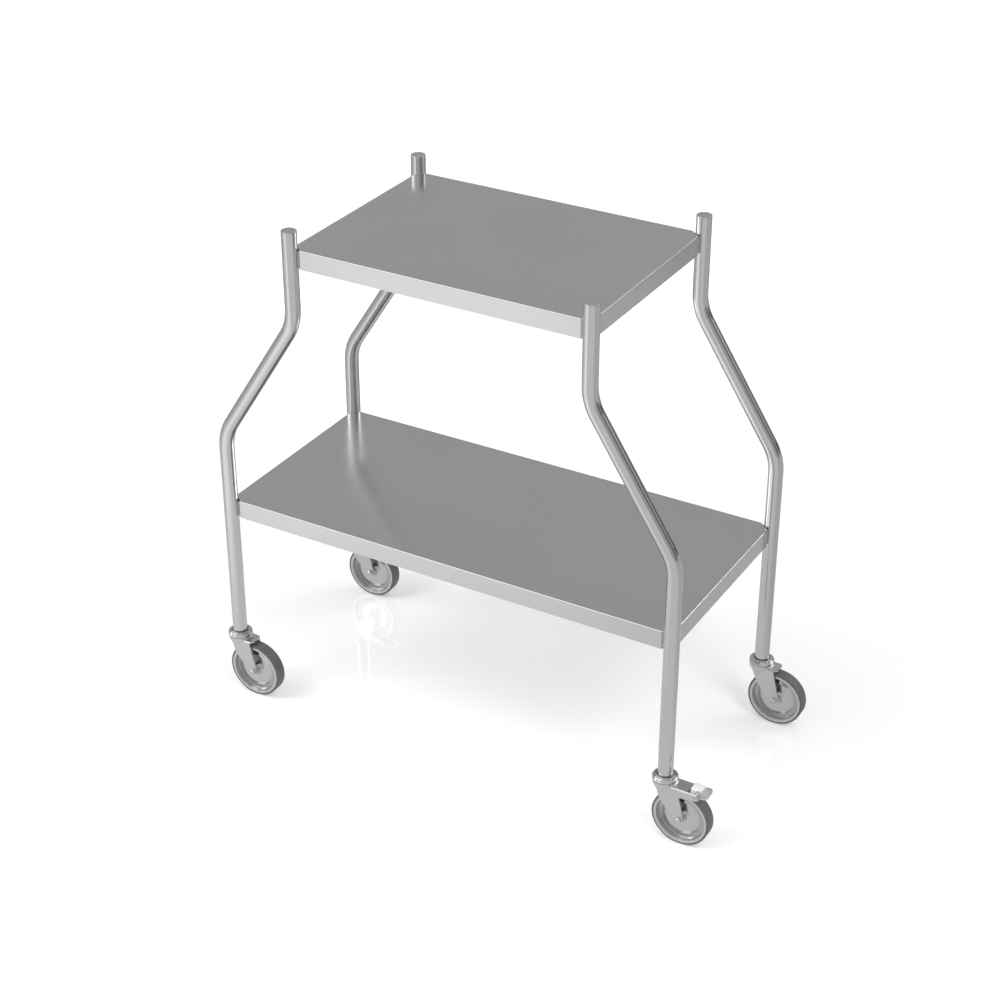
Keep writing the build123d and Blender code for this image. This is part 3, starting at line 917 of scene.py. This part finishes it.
def floor_material():
    """Shaded and lifted for the camera, glowing for every other ray."""
    material = bpy.data.materials.new("studio_floor")
    tree = empty_tree(material)
    place = Flow.new(tree, "ShaderNodeTexCoord", out="Object")
    x = Flow.new(tree, "ShaderNodeSeparateXYZ", values={0: place}, out="X")
    y = Flow.new(tree, "ShaderNodeSeparateXYZ", values={0: place}, out="Y")
    paint = Flow.new(tree, "ShaderNodeBsdfDiffuse", values={"Color": (FLOOR_GREY,) * 3})
    polish = Flow.new(tree, "ShaderNodeBsdfGlossy",
                      values={"Color": (1, 1, 1), "Roughness": 0.02})
    surface = Flow.new(tree, "ShaderNodeMixShader", values={0: FLOOR_GLOSS, 1: paint, 2: polish})
    distance = Flow.new(tree, "ShaderNodeVectorMath", {"operation": "LENGTH"}, {0: place},
                        out="Value")
    far = distance.between(*FAR_REACH)
    lift = Flow.new(tree, "ShaderNodeEmission", values={"Color": FLOOR_LIFT + far * FAR_LIFT})
    shaded = Flow.new(tree, "ShaderNodeAddShader", values={0: surface, 1: lift})
    mirrored = Flow.new(tree, "ShaderNodeEmission", values={"Color": floor_glow(x, y)})
    Flow.new(tree, "ShaderNodeOutputMaterial",
             values={"Surface": by_camera(tree, mirrored, shaded)})
    return material


ground = bmesh.new()
bmesh.ops.create_grid(ground, x_segments=4, y_segments=4, size=FLOOR_HALF)
ground_mesh = bpy.data.meshes.new("studio_floor")
ground.to_mesh(ground_mesh)
ground.free()
ground_mesh.materials.append(floor_material())
floor = bpy.data.objects.new("studio_floor", ground_mesh)
scene.collection.objects.link(floor)
print("floor of", 2 * FLOOR_HALF, "m laid")

# %% [markdown]
# ## Light for metal
# Polished metal has no colour of its own: it shows the room. A photographed room would need a
# picture file, so the room is written as one number, its level, that depends on direction
# alone. The shelves' tops mirror what is above and behind, so a wide grey card stands there.
# Bright patches to both sides light the folded edges and the rims of the caps, and dark ones
# low on the right shade the splayed runs of the posts. A patch is a direction, the cosines
# where it starts and where it is full, and how much it adds.

# %% The room as a level for each direction
ROOM_LEVEL = 0.76
PATCHES = {
    "card above and behind": ((-0.433, 0.75, 0.5), 0.35, 0.85, -0.31),
    "wide light, front left": ((-0.5, -0.58, 0.64), 0.92, 0.985, 1.5),
    "wide light, back right": ((0.6, 0.58, 0.55), 0.9, 0.98, 0.6),
    "small light, left": ((-0.85, -0.3, 0.43), 0.97, 0.99, 3.5),
    "small light, back right": ((0.5, 0.7, 0.51), 0.975, 0.99, 3.5),
    "shade, right": ((0.9, 0.41, 0.15), 0.78, 0.94, -0.42),
    "shade, back right": ((0.5, 0.86, 0.03), 0.85, 0.96, -0.4),
    "shade, front right": ((0.92, -0.32, 0.23), 0.82, 0.96, -0.32),
}
world = bpy.data.worlds.new("studio")
scene.world = world
tree = empty_tree(world)
direction = Flow.new(tree, "ShaderNodeTexCoord", out="Generated")
level = ROOM_LEVEL
for way, start, full, strength in PATCHES.values():
    cosine = Flow.new(tree, "ShaderNodeVectorMath", {"operation": "DOT_PRODUCT"},
                      {0: direction, 1: way}, out="Value")
    level = level + cosine.between(start, full) * strength
room = Flow.new(tree, "ShaderNodeBackground", values={"Color": level})
white = Flow.new(tree, "ShaderNodeBackground", values={"Color": (1, 1, 1)})
Flow.new(tree, "ShaderNodeOutputWorld", values={"Surface": by_camera(tree, room, white)})
print(len(PATCHES), "patches in the room")

# %% [markdown]
# ## Lamps for the shadow
# The room alone is too even to cast a shadow with a direction. A sun would cast a hard one.
# Two square lamps, one from each side of the camera, give the soft pair on the floor. They
# are hidden from gloss, since the room's patches already give the metal its highlights.

# %% Two lamps
LAMP_SIDE = 1.1
LAMP_TARGET = Vector((0, 0, 0.2))


def lamp(name, place, power):
    """A square lamp that looks at the cart."""
    data = bpy.data.lights.new(name, "AREA")
    data.shape = "SQUARE"
    data.size = LAMP_SIDE
    data.energy = power
    lit = bpy.data.objects.new(name, data)
    lit.location = place
    lit.visible_glossy = False
    lit.rotation_euler = (LAMP_TARGET - Vector(place)).to_track_quat("-Z", "Y").to_euler()
    scene.collection.objects.link(lit)


lamp("right", place=(2.4, -1.3, 3.2), power=40)
lamp("left", place=(-1.9, -1.9, 3.2), power=27)
print("two lamps lit")

# %% [markdown]
# ## The camera of the photograph
# The view is from the front right, thirty degrees down, through a long lens: the shelves'
# edges run almost parallel. The place, the turn and the focal length could be found by eye;
# here they come from a fit to the edges in the photograph, so the outlines agree.

# %% Camera
CAMERA_ASIDE = 1.5108
CAMERA_AHEAD = -2.6136
CAMERA_HEIGHT = 2.1501
CAMERA_PITCH = 59.97
CAMERA_YAW = 29.98
FOCAL_LENGTH = 75.53
lens = bpy.data.cameras.new("camera")
lens.lens = FOCAL_LENGTH
camera = bpy.data.objects.new("camera", lens)
camera.location = (centre_x + CAMERA_ASIDE, CAMERA_AHEAD, CAMERA_HEIGHT)
camera.rotation_euler = (math.radians(CAMERA_PITCH), 0, math.radians(CAMERA_YAW))
scene.collection.objects.link(camera)
scene.camera = camera
scene.view_settings.view_transform = "Standard"
print("camera at", tuple(round(value, 3) for value in camera.location))
